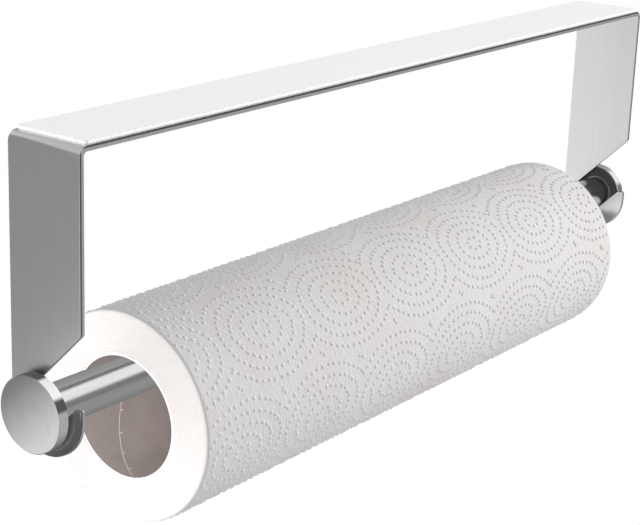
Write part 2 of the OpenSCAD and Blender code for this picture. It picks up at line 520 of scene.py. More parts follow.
# %% Spin a section round the rod's axis
def spun(name, section, axis, material, segments=128, crease=25):
    """A mesh from a section of (along X, distance from the axis) points, spun whole.

    The section closes on itself, or starts and ends on the axis.
    """
    mesh = bmesh.new()
    rings = []
    for along, reach in section:
        ring = []
        for step in range(segments):
            turn = 2 * math.pi * step / segments
            place = (along, axis.y + reach * math.cos(turn), axis.z + reach * math.sin(turn))
            ring.append(mesh.verts.new(place))
        rings.append(ring)
    on_axis = section[0][1] == 0 and section[-1][1] == 0
    following = rings[1:] if on_axis else rings[1:] + rings[:1]
    for ring, after in zip(rings, following):
        for step in range(segments):
            beside = (step + 1) % segments
            mesh.faces.new((ring[step], ring[beside], after[beside], after[step]))
    bmesh.ops.remove_doubles(mesh, verts=mesh.verts, dist=mm(0.0005))
    bmesh.ops.recalc_face_normals(mesh, faces=mesh.faces)
    for face in mesh.faces:
        face.smooth = True
    for edge in mesh.edges:
        edge.smooth = edge.calc_face_angle(0) < math.radians(crease)
    data = bpy.data.meshes.new(name)
    mesh.to_mesh(data)
    mesh.free()
    data.materials.append(material)
    return data


# %% The rod's tube
def build_tube():
    wall = rod.radius - plug.radius
    ease = mm(0.2)
    section = [
        (rod.left, rod.radius - wall),
        (rod.left, rod.radius - ease),
        (rod.left + ease, rod.radius),
        (rod.right - ease, rod.radius),
        (rod.right, rod.radius - ease),
        (rod.right, rod.radius - wall),
    ]
    data = spun("rod_tube_mesh", section, rod, steel_tube, segments=160)
    return piece("rod_sleeve", data, "rod", ["rod_tube"])


tube = build_tube()

# %% [markdown]
# An end disc starts as bar stock. Its face is turned with a crown of 0.4 mm, its rim is turned
# and chamfered, and a blind hole on the inner side takes the set screw. From the middle to the
# rim the face turns by three degrees or so, and that gives it the soft change from dark to light
# that a dead flat face would lack.

# %% The end discs
crown = mm(0.4)
disc_chamfer = mm(0.3)
screw_hole_depth = left_disc.right - stud.left


def build_disc(name, disc, outward, node):
    """outward is -1 for the left disc, whose face looks along -X, and 1 for the right one."""
    outer = disc.right if outward > 0 else disc.left
    inner = disc.left if outward > 0 else disc.right
    steps = 12
    face = []
    for step in range(steps + 1):
        reach = (disc.radius - disc_chamfer) * step / steps
        fall = crown * (reach / disc.radius) ** 2
        face.append((outer - outward * fall, reach))
    rim = [
        (outer - outward * (disc_chamfer + crown), disc.radius),
        (inner + outward * disc_chamfer, disc.radius),
        (inner, disc.radius - disc_chamfer),
        (inner, stud.radius),
        (inner + outward * screw_hole_depth, stud.radius),
        (inner + outward * screw_hole_depth, 0.0),
    ]
    data = spun(name + "_mesh", face + rim, disc, steel_disc, segments=160)
    return piece(name, data, "rod", [node])


left_end = build_disc("left_disc", left_disc, -1, "left_end_disc")
right_end = build_disc("right_disc", right_disc, 1, "right_end_disc")

# %% [markdown]
# The plugs and set screws are right as the CAD has them, so they only get their finishes.

# %% Finish the carried-over nodes
def finish_node(node, material):
    """Gives a carried-over CAD node a procedural material."""
    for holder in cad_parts[node].material_slots:
        holder.material = material


for side in ("left", "right"):
    finish_node(side + "_tube_plug", zinc)
    finish_node(side + "_stud", black_oxide)
print("carried over: plugs and studs")

# %% [markdown]
# ## Geometry Nodes
#
# A tree of Geometry Nodes builds what repeats. Each tree here is made by a function, its sizes
# are named inputs, and it is run on an empty mesh. The result is then copied out as a plain
# mesh, so that each finished piece is a mesh of its own.

# %% Start a tree, and run it
def start_tree(name, sizes):
    """A Geometry Nodes tree with a named float input for each size: the tree, its input node."""
    tree = bpy.data.node_groups.new(name, "GeometryNodeTree")
    tree.interface.new_socket("Geometry", in_out="INPUT", socket_type="NodeSocketGeometry")
    tree.interface.new_socket("Geometry", in_out="OUTPUT", socket_type="NodeSocketGeometry")
    for size in sizes:
        whole = isinstance(sizes[size], int)
        kind = "NodeSocketInt" if whole else "NodeSocketFloat"
        tree.interface.new_socket(size, in_out="INPUT", socket_type=kind)
    return tree, add(tree, "NodeGroupInput")


def run_tree(tree, sizes):
    """Runs a tree on an empty mesh with these sizes, and returns the plain mesh."""
    holder = bpy.data.objects.new(tree.name, bpy.data.meshes.new(tree.name))
    scene.collection.objects.link(holder)
    modifier = holder.modifiers.new(tree.name, "NODES")
    modifier.node_group = tree
    for socket in tree.interface.items_tree:
        if socket.item_type == "SOCKET" and socket.name in sizes:
            modifier[socket.identifier] = sizes[socket.name]
    data = baked(holder)
    bpy.data.objects.remove(holder)
    drop_empty_slots(data)
    return data


def drop_empty_slots(data):
    """Set Material leaves an empty slot in front of its own: remove it and renumber the faces."""
    slots = list(data.materials)
    kept = [material for material in slots if material]
    indices = [kept.index(slots[face.material_index]) for face in data.polygons]
    data.materials.clear()
    for material in kept:
        data.materials.append(material)
    data.polygons.foreach_set("material_index", indices)


def joined(tree, parts):
    """One Join Geometry node that takes every part."""
    join = add(tree, "GeometryNodeJoinGeometry")
    for part in parts:
        tree.links.new(part, join.inputs["Geometry"])
    return join.outputs["Geometry"]


def revolved(tree, reach, width, length, rounding, segments):
    """A ring of rectangular section round Z: Curve to Mesh along a circle."""
    path = add(tree, "GeometryNodeCurvePrimitiveCircle", {"Resolution": segments, "Radius": reach})
    box = add(tree, "GeometryNodeCurvePrimitiveQuadrilateral", {"Width": width, "Height": length})
    corner_inputs = {"Curve": box.outputs["Curve"], "Count": 4, "Radius": rounding}
    rounded = add(tree, "GeometryNodeFilletCurve", corner_inputs, mode="POLY")
    sweep_inputs = {"Curve": path.outputs["Curve"], "Profile Curve": rounded.outputs["Curve"]}
    return add(tree, "GeometryNodeCurveToMesh", sweep_inputs).outputs["Mesh"]


def finish_tree(tree, geometry):
    """Realize Instances, then the group's output. Each part has its material by then."""
    real = add(tree, "GeometryNodeRealizeInstances", {"Geometry": geometry}).outputs["Geometry"]
    add(tree, "NodeGroupOutput", {"Geometry": real})


# %% [markdown]
# ## The embossing
#
# The paper is embossed between steel rollers whose pins stand in concentric rings. The rings
# form medallions 46 mm apart, and each row of medallions is shifted by half of that. The tree
# lays every ring of every medallion out flat, keeps a dot only in the medallion whose middle is
# nearest, and then wraps the flat pattern round the roll. The rings are a little narrower round
# the roll than along it, because winding under tension draws the paper out.

# %% The pattern's sizes
dot_height = mm(0.48)
roll_radius = paper.radius - dot_height
rows_round = 6
squeeze = 0.7
first_ring = 0.72           # radius of a medallion's first ring, in ring spacings
ring_turn = 0.4             # how far each ring's dots are turned from the last, in radians
dot_top_share = 0.58        # radius of a dot's shoulder, in dot radii
dot_root = mm(0.06)         # how far a dot's foot lies under the paper
smallest_dot = 0.86         # a dot's size is a share between this and 1
bare_end = mm(2)            # the paper's ends carry no dots
emboss_sizes = {
    "Surface radius": roll_radius,
    "Length": paper.length - 2 * bare_end,
    "Medallion pitch": mm(45.6),
    "Rows round": rows_round,
    "Squeeze": squeeze,
    "Ring spacing": mm(5.6),
    "Dot pitch": mm(3.2),
    "Dot stray": mm(0.34),
    "Dot radius": mm(1.05),
    "Dot height": dot_height,
    "Shift along": mm(-5.8),
    "Start angle": math.radians(133.5),
    "Seed": 7,
}
medallion_rings = 7
print(f"medallions: {rows_round} rows of {paper.length / emboss_sizes['Medallion pitch']:.0f}")


# %% One embossed dot
def dot_shape(tree, sizes):
    """A low dome with six sides: a cone whose flat top is raised to a point in the middle."""
    radius, height = sizes["Dot radius"], sizes["Dot height"]
    cone_inputs = {
        "Vertices": 6,
        "Side Segments": 1,
        "Fill Segments": 1,
        "Radius Top": maths(tree, "MULTIPLY", radius, dot_top_share),
        "Radius Bottom": radius,
        "Depth": height,
    }
    cone = add(tree, "GeometryNodeMeshCone", cone_inputs, fill_type="TRIANGLE_FAN")
    place = add(tree, "GeometryNodeInputPosition").outputs["Position"]
    x, y, z = add(tree, "ShaderNodeSeparateXYZ", {0: place}).outputs
    squares = maths(tree, "ADD", maths(tree, "MULTIPLY", x, x), maths(tree, "MULTIPLY", y, y))
    share = maths(tree, "DIVIDE", maths(tree, "SQRT", squares), radius)
    fall = maths(tree, "SUBTRACT", 1.0, maths(tree, "MULTIPLY", share, share))
    domed = maths(tree, "MULTIPLY", fall, height)
    on_top = maths(tree, "GREATER_THAN", z, maths(tree, "MULTIPLY", height, 0.5))
    goal = add(tree, "ShaderNodeCombineXYZ", {"X": x, "Y": y, "Z": domed}).outputs["Vector"]
    top_inputs = {"Geometry": cone.outputs["Mesh"], "Selection": on_top, "Position": goal}
    raised = add(tree, "GeometryNodeSetPosition", top_inputs).outputs["Geometry"]
    sunk = {"Geometry": raised, "Translation": (0, 0, -dot_root)}
    return add(tree, "GeometryNodeTransform", sunk).outputs["Geometry"]


# %% Medallions laid out flat
def flat_pattern(tree, sizes):
    """Points of every ring of every medallion, in a plane, each kept by its nearest medallion."""
    pitch = sizes["Medallion pitch"]
    round_way = maths(tree, "MULTIPLY", sizes["Surface radius"], 2 * math.pi)
    flat_round = maths(tree, "DIVIDE", round_way, sizes["Squeeze"])
    row_pitch = maths(tree, "DIVIDE", flat_round, sizes["Rows round"])
    columns = 9
    rows = rows_round + 3
    grid_inputs = {
        "Size X": maths(tree, "MULTIPLY", pitch, columns - 1),
        "Size Y": maths(tree, "MULTIPLY", row_pitch, rows - 1),
        "Vertices X": columns,
        "Vertices Y": rows,
    }
    grid = add(tree, "GeometryNodeMeshGrid", grid_inputs).outputs["Mesh"]
    place = add(tree, "GeometryNodeInputPosition").outputs["Position"]
    y = add(tree, "ShaderNodeSeparateXYZ", {0: place}).outputs["Y"]
    row = maths(tree, "ROUND", maths(tree, "DIVIDE", y, row_pitch))
    odd = maths(tree, "FLOORED_MODULO", row, 2.0)
    half_pitch = maths(tree, "MULTIPLY", pitch, 0.5)
    shift = add(tree, "ShaderNodeCombineXYZ", {"X": maths(tree, "MULTIPLY", half_pitch, odd)})
    shifted = {"Geometry": grid, "Offset": shift.outputs["Vector"]}
    centres = add(tree, "GeometryNodeSetPosition", shifted).outputs["Geometry"]
    index = add(tree, "GeometryNodeInputIndex").outputs["Index"]
    named = stored(tree, centres, "home", index, "INT")
    rings = []
    for ring in range(medallion_rings):
        reach = maths(tree, "MULTIPLY", sizes["Ring spacing"], ring + first_ring)
        ring_length = maths(tree, "MULTIPLY", reach, 2 * math.pi)
        count = maths(tree, "DIVIDE", ring_length, sizes["Dot pitch"])
        circle = add(tree, "GeometryNodeMeshCircle", {"Vertices": count, "Radius": reach})
        turned = {"Geometry": circle.outputs["Mesh"], "Rotation": (0, 0, ring_turn * ring)}
        rings.append(add(tree, "GeometryNodeTransform", turned).outputs["Geometry"])
    medallion = {"Points": named, "Instance": joined(tree, rings)}
    placed = add(tree, "GeometryNodeInstanceOnPoints", medallion).outputs["Instances"]
    real = add(tree, "GeometryNodeRealizeInstances", {"Geometry": placed}).outputs["Geometry"]
    nearest = add(tree, "GeometryNodeSampleNearest", {"Geometry": centres}, domain="POINT")
    pair = {2: nearest.outputs["Index"], 3: recalled(tree, "home", "INT")}
    astray = add(tree, "FunctionNodeCompare", pair, data_type="INT", operation="NOT_EQUAL")
    kept = delete_where(tree, real, astray.outputs["Result"])
    stray = sizes["Dot stray"]
    back = maths(tree, "MULTIPLY", stray, -1.0)
    least = add(tree, "ShaderNodeCombineXYZ", {"X": back, "Y": back}).outputs["Vector"]
    most = add(tree, "ShaderNodeCombineXYZ", {"X": stray, "Y": stray}).outputs["Vector"]
    chance = {0: least, 1: most, "Seed": sizes["Seed"]}
    offset = add(tree, "FunctionNodeRandomValue", chance, data_type="FLOAT_VECTOR").outputs[0]
    moved = add(tree, "GeometryNodeSetPosition", {"Geometry": kept, "Offset": offset}).outputs["Geometry"]
    return trimmed(tree, moved, sizes, flat_round)


def stored(tree, geometry, name, value, kind):
    """The geometry, with a value kept on each point under a name."""
    inputs = {"Geometry": geometry, "Name": name, "Value": value}
    store = add(tree, "GeometryNodeStoreNamedAttribute", inputs, data_type=kind, domain="POINT")
    return store.outputs["Geometry"]


def recalled(tree, name, kind):
    """The value that each point keeps under this name."""
    recall = add(tree, "GeometryNodeInputNamedAttribute", {"Name": name}, data_type=kind)
    return recall.outputs["Attribute"]


def delete_where(tree, geometry, wanted):
    """The geometry without the points where wanted is true."""
    inputs = {"Geometry": geometry, "Selection": wanted}
    return add(tree, "GeometryNodeDeleteGeometry", inputs, domain="POINT").outputs["Geometry"]


def trimmed(tree, geometry, sizes, flat_round):
    """The flat pattern cut to the roll's length and to once round it."""
    place = add(tree, "GeometryNodeInputPosition").outputs["Position"]
    x, y = add(tree, "ShaderNodeSeparateXYZ", {0: place}).outputs[:2]
    half_length = maths(tree, "MULTIPLY", sizes["Length"], 0.5)
    along = maths(tree, "ABSOLUTE", maths(tree, "ADD", x, sizes["Shift along"]))
    too_far = maths(tree, "GREATER_THAN", along, half_length)
    half_round = maths(tree, "MULTIPLY", flat_round, 0.5)
    below = maths(tree, "LESS_THAN", y, maths(tree, "MULTIPLY", half_round, -1.0))
    above = maths(tree, "GREATER_THAN", y, half_round)
    outside = maths(tree, "MAXIMUM", too_far, maths(tree, "MAXIMUM", below, above))
    return delete_where(tree, geometry, outside)


# %% Wrap the pattern round the roll
def wrapped_dots(tree, sizes):
    """A dot on every point of the flat pattern, wrapped round the roll's axis."""
    flat = flat_pattern(tree, sizes)
    place = add(tree, "GeometryNodeInputPosition").outputs["Position"]
    x, y = add(tree, "ShaderNodeSeparateXYZ", {0: place}).outputs[:2]
    surface = sizes["Surface radius"]
    turned = maths(tree, "DIVIDE", maths(tree, "MULTIPLY", y, sizes["Squeeze"]), surface)
    kept = stored(tree, flat, "angle", maths(tree, "ADD", turned, sizes["Start angle"]), "FLOAT")
    angle = recalled(tree, "angle", "FLOAT")
    along = maths(tree, "ADD", maths(tree, "ADD", x, sizes["Shift along"]), paper.middle)
    forward = maths(tree, "ADD", maths(tree, "MULTIPLY", maths(tree, "COSINE", angle), surface), paper.y)
    upward = maths(tree, "ADD", maths(tree, "MULTIPLY", maths(tree, "SINE", angle), surface), paper.z)
    goal = add(tree, "ShaderNodeCombineXYZ", {"X": along, "Y": forward, "Z": upward}).outputs["Vector"]
    round_roll = add(tree, "GeometryNodeSetPosition", {"Geometry": kept, "Position": goal})
    lean = add(tree, "ShaderNodeCombineXYZ", {"X": maths(tree, "SUBTRACT", angle, math.pi / 2)})
    chance = {2: smallest_dot, 3: 1.0, "Seed": sizes["Seed"]}
    size = add(tree, "FunctionNodeRandomValue", chance, data_type="FLOAT").outputs[1]
    inputs = {
        "Points": round_roll.outputs["Geometry"],
        "Instance": dot_shape(tree, sizes),
        "Rotation": lean.outputs["Vector"],
        "Scale": size,
    }
    return add(tree, "GeometryNodeInstanceOnPoints", inputs).outputs["Instances"]


# %% [markdown]
# ## The winding
#
# A roll is one long web wound in a spiral. Its bulk is a ring, rounded outside, swept round the
# axis. On each end the cut edge of the web shows as a fine spiral, so a Spiral curve with a thin
# profile is laid on the end. The real turns are about 0.3 mm apart, too fine to show, so they
# are drawn 0.8 mm apart. The whole roll is built along Z and then laid along X.

# %% The winding's body and the spiral on its ends
turn_proud = mm(0.12)
winding_sizes = {
    "Body radius": roll_radius,
    "Bore radius": core.radius,
    "Body length": paper.length - 2 * turn_proud,
    "Edge rounding": mm(1.4),
    "Turn pitch": mm(0.8),
    "Turn proud": turn_proud,
}


def winding_body(tree, sizes):
    """The ring that the web is wound into, round Z. Only its outer edges are rounded."""
    width = maths(tree, "SUBTRACT", sizes["Body radius"], sizes["Bore radius"])
    middle = average(tree, sizes["Body radius"], sizes["Bore radius"])
    corner = add(tree, "GeometryNodeInputPosition").outputs["Position"]
    across = add(tree, "ShaderNodeSeparateXYZ", {0: corner}).outputs["X"]
    rounding = maths(tree, "MULTIPLY", maths(tree, "GREATER_THAN", across, 0.0), sizes["Edge rounding"])
    return revolved(tree, middle, width, sizes["Body length"], rounding, 160)


def cut_edge_spiral(tree, sizes):
    """The edges of the turns on the end at the top, as one flat spiral ridge."""
    inner = maths(tree, "ADD", sizes["Bore radius"], mm(0.4))
    outer = maths(tree, "SUBTRACT", sizes["Body radius"], sizes["Edge rounding"])
    turns = maths(tree, "DIVIDE", maths(tree, "SUBTRACT", outer, inner), sizes["Turn pitch"])
    path_inputs = {
        "Resolution": 72,
        "Rotations": turns,
        "Start Radius": inner,
        "End Radius": outer,
        "Height": 0.0,
    }
    path = add(tree, "GeometryNodeCurveSpiral", path_inputs).outputs["Curve"]
    bead = {"Resolution": 4, "Radius": sizes["Turn proud"]}
    ridge = add(tree, "GeometryNodeCurvePrimitiveCircle", bead)
    sweep = {"Curve": path, "Profile Curve": ridge.outputs["Curve"], "Fill Caps": True}
    swept = add(tree, "GeometryNodeCurveToMesh", sweep).outputs["Mesh"]
    half = maths(tree, "MULTIPLY", sizes["Body length"], 0.5)
    lift = add(tree, "ShaderNodeCombineXYZ", {"Z": half}).outputs["Vector"]
    lifted = {"Geometry": swept, "Translation": lift}
    return add(tree, "GeometryNodeTransform", lifted).outputs["Geometry"]


def kitchen_roll_tree(sizes):
    """The whole roll: winding, spirals on both ends, and the embossing."""
    tree, entry = start_tree("kitchen_roll", sizes)
    wired = {name: entry.outputs[name] for name in sizes}
    spiral = cut_edge_spiral(tree, wired)
    turned_over = {"Geometry": spiral, "Rotation": (math.pi, 0, 0)}
    other = add(tree, "GeometryNodeTransform", turned_over).outputs["Geometry"]
    upright = joined(tree, [winding_body(tree, wired), spiral, other])
    laid = {
        "Geometry": upright,
        "Rotation": (0, math.pi / 2, 0),
        "Translation": (paper.middle, paper.y, paper.z),
    }
    lying = add(tree, "GeometryNodeTransform", laid).outputs["Geometry"]
    outside = add(tree, "GeometryNodeSetMaterial", {"Geometry": lying, "Material": embossed_paper})
    normal = add(tree, "GeometryNodeInputNormal").outputs["Normal"]
    facing = add(tree, "ShaderNodeSeparateXYZ", {0: normal}).outputs["X"]
    # Faces along the axis take the lighter copy, the rounding keeps the darker: painted light and shade.
    on_end = maths(tree, "GREATER_THAN", maths(tree, "ABSOLUTE", facing), 0.6)
    ends_inputs = {"Geometry": outside.outputs["Geometry"], "Selection": on_end, "Material": paper_painted_lighter}
    ends = add(tree, "GeometryNodeSetMaterial", ends_inputs).outputs["Geometry"]
    dots = {"Geometry": wrapped_dots(tree, wired), "Material": embossed_paper}
    dotted = add(tree, "GeometryNodeSetMaterial", dots).outputs["Geometry"]
    finish_tree(tree, joined(tree, [ends, dotted]))
    return tree


roll_sizes = {**emboss_sizes, **winding_sizes}
roll_mesh = run_tree(kitchen_roll_tree(roll_sizes), roll_sizes)
print("roll materials:", [material.name for material in roll_mesh.materials])


# %% Smooth the roll where it is smooth
def shade_smooth(data, crease):
    """Smooth shading, but for edges sharper than crease degrees."""
    data.polygons.foreach_set("use_smooth", [True] * len(data.polygons))
    data.set_sharp_from_angle(angle=math.radians(crease))


shade_smooth(roll_mesh, 60)
roll = piece("wound_paper", roll_mesh, "roll", ["paper_roll"])

# %% [markdown]
# ## The free end of the paper
#
# The last sheet ends in a perforated edge that stands a little off the roll. It is a thin
# curved sheet: code walks along it, lifts it more and more towards its end, and gives it a
# thickness. Its edge keeps the small nibs where the perforation tore.

# %% The loose end, low at the back of the roll
tail_end_angle = math.radians(-58)
tail_angle = math.radians(34)
tail_lift = mm(1.1)
sheet_thickness = mm(0.3)
nib_pitch = mm(5)
nib_length = mm(0.7)
wave_share = 0.25           # the lift varies by this share along the roll
half_waves = 2.4


def build_tail():
    mesh = bmesh.new()
    steps = 20
    half = paper.length / 2 - mm(1.6)
    columns = 2 * round(2 * half / nib_pitch)
    grid = []
    for step in range(steps + 1):
        share = step / steps
        row = []
        for column in range(columns + 1):
            angle = tail_end_angle + tail_angle * (1 - share)
            if step == steps and column % 2:
                angle -= nib_length / roll_radius
            wave = wave_share * math.sin(half_waves * column / columns * math.pi)
            reach = roll_radius + mm(0.1) + tail_lift * share ** 3 * (1 + wave)
            x = paper.middle - half + 2 * half * column / columns
            place = (x, paper.y + reach * math.cos(angle), paper.z + reach * math.sin(angle))
            row.append(mesh.verts.new(place))
        grid.append(row)
    for step in range(steps):
        for column in range(columns):
            near, far = grid[step], grid[step + 1]
            mesh.faces.new((near[column], near[column + 1], far[column + 1], far[column]))
    bmesh.ops.recalc_face_normals(mesh, faces=mesh.faces)
    bmesh.ops.solidify(mesh, geom=mesh.faces[:], thickness=sheet_thickness)
    bmesh.ops.recalc_face_normals(mesh, faces=mesh.faces)
    data = bpy.data.meshes.new("tail_mesh")
    mesh.to_mesh(data)
    mesh.free()
    data.materials.append(embossed_paper)
    shade_smooth(data, 50)
    return piece("loose_sheet_end", data, "roll")


tail = build_tail()

# %% [markdown]
# ## The cardboard core
#
# The core is wound from strips of grey board on a slant, so a pale seam of torn fibre runs
# round its inside as a helix, with small knife marks across it. The tree sweeps the tube, sweeps
# a flat ribbon along a helix for the seam, and sets a short bar at every knife mark.

# %% Core, seam and knife marks
core_sizes = {
    "Outer radius": core.radius,
    "Wall": mm(0.8),
    "Tube length": core.length - mm(0.6),
    "Seam pitch": mm(88),
    "Seam width": mm(0.45),
    "Seam height": mm(0.16),
    "Mark spacing": mm(9),
    "Mark length": mm(2.4),
    "Mark width": mm(0.4),
}
seam_start = math.radians(-14)
SEAM_REVERSED = True


def seam_path(tree, sizes, inner):
    """The helix that the seam follows, just inside the tube's wall."""
    turns = maths(tree, "DIVIDE", sizes["Tube length"], sizes["Seam pitch"])
    inputs = {
        "Resolution": 72,
        "Rotations": turns,
        "Start Radius": inner,
        "End Radius": inner,
        "Height": sizes["Tube length"],
        "Reverse": SEAM_REVERSED,
    }
    return add(tree, "GeometryNodeCurveSpiral", inputs).outputs["Curve"]


def cardboard_core_tree(sizes):
    tree, entry = start_tree("cardboard_core", sizes)
    wired = {name: entry.outputs[name] for name in sizes}
    half_wall = maths(tree, "MULTIPLY", wired["Wall"], 0.5)
    middle = maths(tree, "SUBTRACT", wired["Outer radius"], half_wall)
    tube_shell = revolved(tree, middle, wired["Wall"], wired["Tube length"], mm(0.2), 128)
    all_over = {"Geometry": tube_shell, "Material": board}
    shell = add(tree, "GeometryNodeSetMaterial", all_over).outputs["Geometry"]
    normal = add(tree, "GeometryNodeInputNormal").outputs["Normal"]
    facing = add(tree, "ShaderNodeSeparateXYZ", {0: normal}).outputs["Z"]
    on_end = maths(tree, "GREATER_THAN", maths(tree, "ABSOLUTE", facing), 0.5)
    # The core's ends take the painted-lighter paper colour too, not the board's own.
    ends = {"Geometry": shell, "Selection": on_end, "Material": paper_painted_lighter}
    shell = add(tree, "GeometryNodeSetMaterial", ends).outputs["Geometry"]
    inner = maths(tree, "SUBTRACT", wired["Outer radius"], wired["Wall"])
    helix = seam_path(tree, wired, inner)
    ribbon_inputs = {"Width": wired["Seam height"], "Height": wired["Seam width"]}
    ribbon = add(tree, "GeometryNodeCurvePrimitiveQuadrilateral", ribbon_inputs).outputs["Curve"]
    sweep = {"Curve": helix, "Profile Curve": ribbon, "Fill Caps": True}
    seam = add(tree, "GeometryNodeCurveToMesh", sweep).outputs["Mesh"]
    spaced = {"Curve": helix, "Length": wired["Mark spacing"]}
    marks = add(tree, "GeometryNodeCurveToPoints", spaced, mode="LENGTH")
    bar_sides = {0: wired["Seam height"], 1: wired["Mark length"], 2: wired["Mark width"]}
    bar_size = add(tree, "ShaderNodeCombineXYZ", bar_sides)
    bar = add(tree, "GeometryNodeMeshCube", {"Size": bar_size.outputs["Vector"]}).outputs["Mesh"]
    placed = {"Points": marks.outputs["Points"], "Instance": bar, "Rotation": marks.outputs["Rotation"]}
    bars = add(tree, "GeometryNodeInstanceOnPoints", placed).outputs["Instances"]
    pale = joined(tree, [seam, bars])
    pale = add(tree, "GeometryNodeRealizeInstances", {"Geometry": pale}).outputs["Geometry"]
    down = add(tree, "ShaderNodeCombineXYZ", {"Z": maths(tree, "MULTIPLY", wired["Tube length"], -0.5)})
    lowered = {"Geometry": pale, "Translation": down.outputs["Vector"], "Rotation": (0, 0, seam_start)}
    centred = add(tree, "GeometryNodeTransform", lowered).outputs["Geometry"]
    coloured = add(tree, "GeometryNodeSetMaterial", {"Geometry": centred, "Material": board_edge})
    upright = joined(tree, [shell, coloured.outputs["Geometry"]])
    laid = {
        "Geometry": upright,
        "Rotation": (0, math.pi / 2, 0),
        "Translation": (core.middle, core.y, core.z),
    }
    finish_tree(tree, add(tree, "GeometryNodeTransform", laid).outputs["Geometry"])
    return tree


core_mesh = run_tree(cardboard_core_tree(core_sizes), core_sizes)
shade_smooth(core_mesh, 40)
core_tube = piece("core_tube", core_mesh, "roll", ["cardboard_core"])

# %% [markdown]
# ## The studio
#
# Bare steel is mostly a picture of the room round it, and paper is not, so the room is made
# twice. Reflections see a white wall on the left and, on the right, a ring of soft boxes and
# dark gaps round the X axis: this gives the rod its bands of light. Diffuse light comes evenly
# from everywhere. The camera sees plain white.

# %% The room that reflections see
WALL_LEVEL = 1.02       # at the foot of the wall, and a dimmer one towards the ceiling
CEILING_LEVEL = 0.62
AMBIENT_LEVEL = 0.57
RING_STOPS = [      # degrees round the X axis, from +Y through +Z; and the brightness there
    (-180, 0.30),
    (-160, 0.46),
    (-125, 0.46),
    (-80, 0.32),
    (-32, 0.22),
    (-8, 0.26),
    (20, 0.42),
    (62, 0.52),
    (88, 0.66),
    (98, 1.38),
    (150, 1.38),
    (160, 0.34),
    (180, 0.30),
]


def ring_level(tree, y, z, levels):
    """A brightness that follows the angle round the X axis, from +Y through +Z."""
    peak = max(level for angle, level in levels)
    angle = maths(tree, "ARCTAN2", z, y)
    share = maths(tree, "ADD", maths(tree, "DIVIDE", angle, 2 * math.pi), 0.5)
    ramp = add(tree, "ShaderNodeValToRGB", {"Fac": share})
    stops = ramp.color_ramp.elements
    while len(stops) < len(levels):
        stops.new(1.0)
    for stop, (degrees, level) in zip(stops, levels):
        grey = level / peak
        stop.position = degrees / 360 + 0.5
        stop.color = (grey, grey, grey, 1.0)
    return maths(tree, "MULTIPLY", ramp.outputs["Color"], peak)


def build_world():
    world = bpy.data.worlds.new("studio_room")
    world.use_nodes = True
    tree = world.node_tree
    tree.nodes.clear()
    facing = add(tree, "ShaderNodeTexCoord").outputs["Generated"]
    x, y, z = add(tree, "ShaderNodeSeparateXYZ", {0: facing}).outputs
    climb = {"Value": z, "From Min": -0.1, "From Max": 0.7, "To Min": WALL_LEVEL, "To Max": CEILING_LEVEL}
    wall = add(tree, "ShaderNodeMapRange", climb).outputs["Result"]
    rightwards = {"Value": x, "From Min": 0.1, "From Max": 0.45}
    on_right = add(tree, "ShaderNodeMapRange", rightwards).outputs["Result"]
    reflected = add(tree, "ShaderNodeMix", {0: on_right, 2: wall, 3: ring_level(tree, y, z, RING_STOPS)})
    ray = add(tree, "ShaderNodeLightPath").outputs
    for_diffuse = {0: ray["Is Diffuse Ray"], 2: reflected.outputs[0], 3: AMBIENT_LEVEL}
    lit = add(tree, "ShaderNodeMix", for_diffuse).outputs[0]
    for_camera = {0: ray["Is Camera Ray"], 2: lit, 3: 1.0}
    level = add(tree, "ShaderNodeMix", for_camera).outputs[0]
    room = add(tree, "ShaderNodeBackground", {"Color": linear("FFFFFF"), "Strength": level})
    add(tree, "ShaderNodeOutputWorld", {"Surface": room.outputs[0]})
    scene.world = world


build_world()
print("world: wall", WALL_LEVEL, "ring", len(RING_STOPS), "stops, ambient", AMBIENT_LEVEL)

# %% [markdown]
# The floor is a plain white sweep a metre below the holder. The other stage objects are cards
# that only reflections see, as a studio sets them round shiny goods. A grey card close to the
# left plate keeps it a quiet grey while the far one stays bright, and it brightens downwards,
# which shades the near disc. A card bent round that disc gives its rim crisp bands, and small
# black ones darken what the hooks and the far disc mirror.

# %% Objects that glow
def four_sided(name, corners):
    """The mesh of one face with four corners."""
    data = bpy.data.meshes.new(name)
    data.from_pydata([Vector(corner) for corner in corners], [], [(0, 1, 2, 3)])
    return data


def even(level):
    """The same glow all over."""
    return lambda tree, place: level


def graded(along, low, high, low_level, high_level):
    """A glow that goes from one level to another between two places along a direction."""
    def shade(tree, place):
        slanted = add(tree, "ShaderNodeVectorMath", {0: place, 1: along}, operation="DOT_PRODUCT")
        inputs = {
            "Value": slanted.outputs["Value"],
            "From Min": low,
            "From Max": high,
            "To Min": low_level,
            "To Max": high_level,
        }
        return add(tree, "ShaderNodeMapRange", inputs).outputs["Result"]
    return shade


def round_the_rod(levels):
    """A glow that follows the angle round the rod, from the front downwards."""
    def shade(tree, place):
        centred = {0: (0, rod.y, rod.z), 1: place}
        inward = add(tree, "ShaderNodeVectorMath", centred, operation="SUBTRACT").outputs[0]
        x, y, z = add(tree, "ShaderNodeSeparateXYZ", {0: inward}).outputs
        return ring_level(tree, y, z, levels)
    return shade


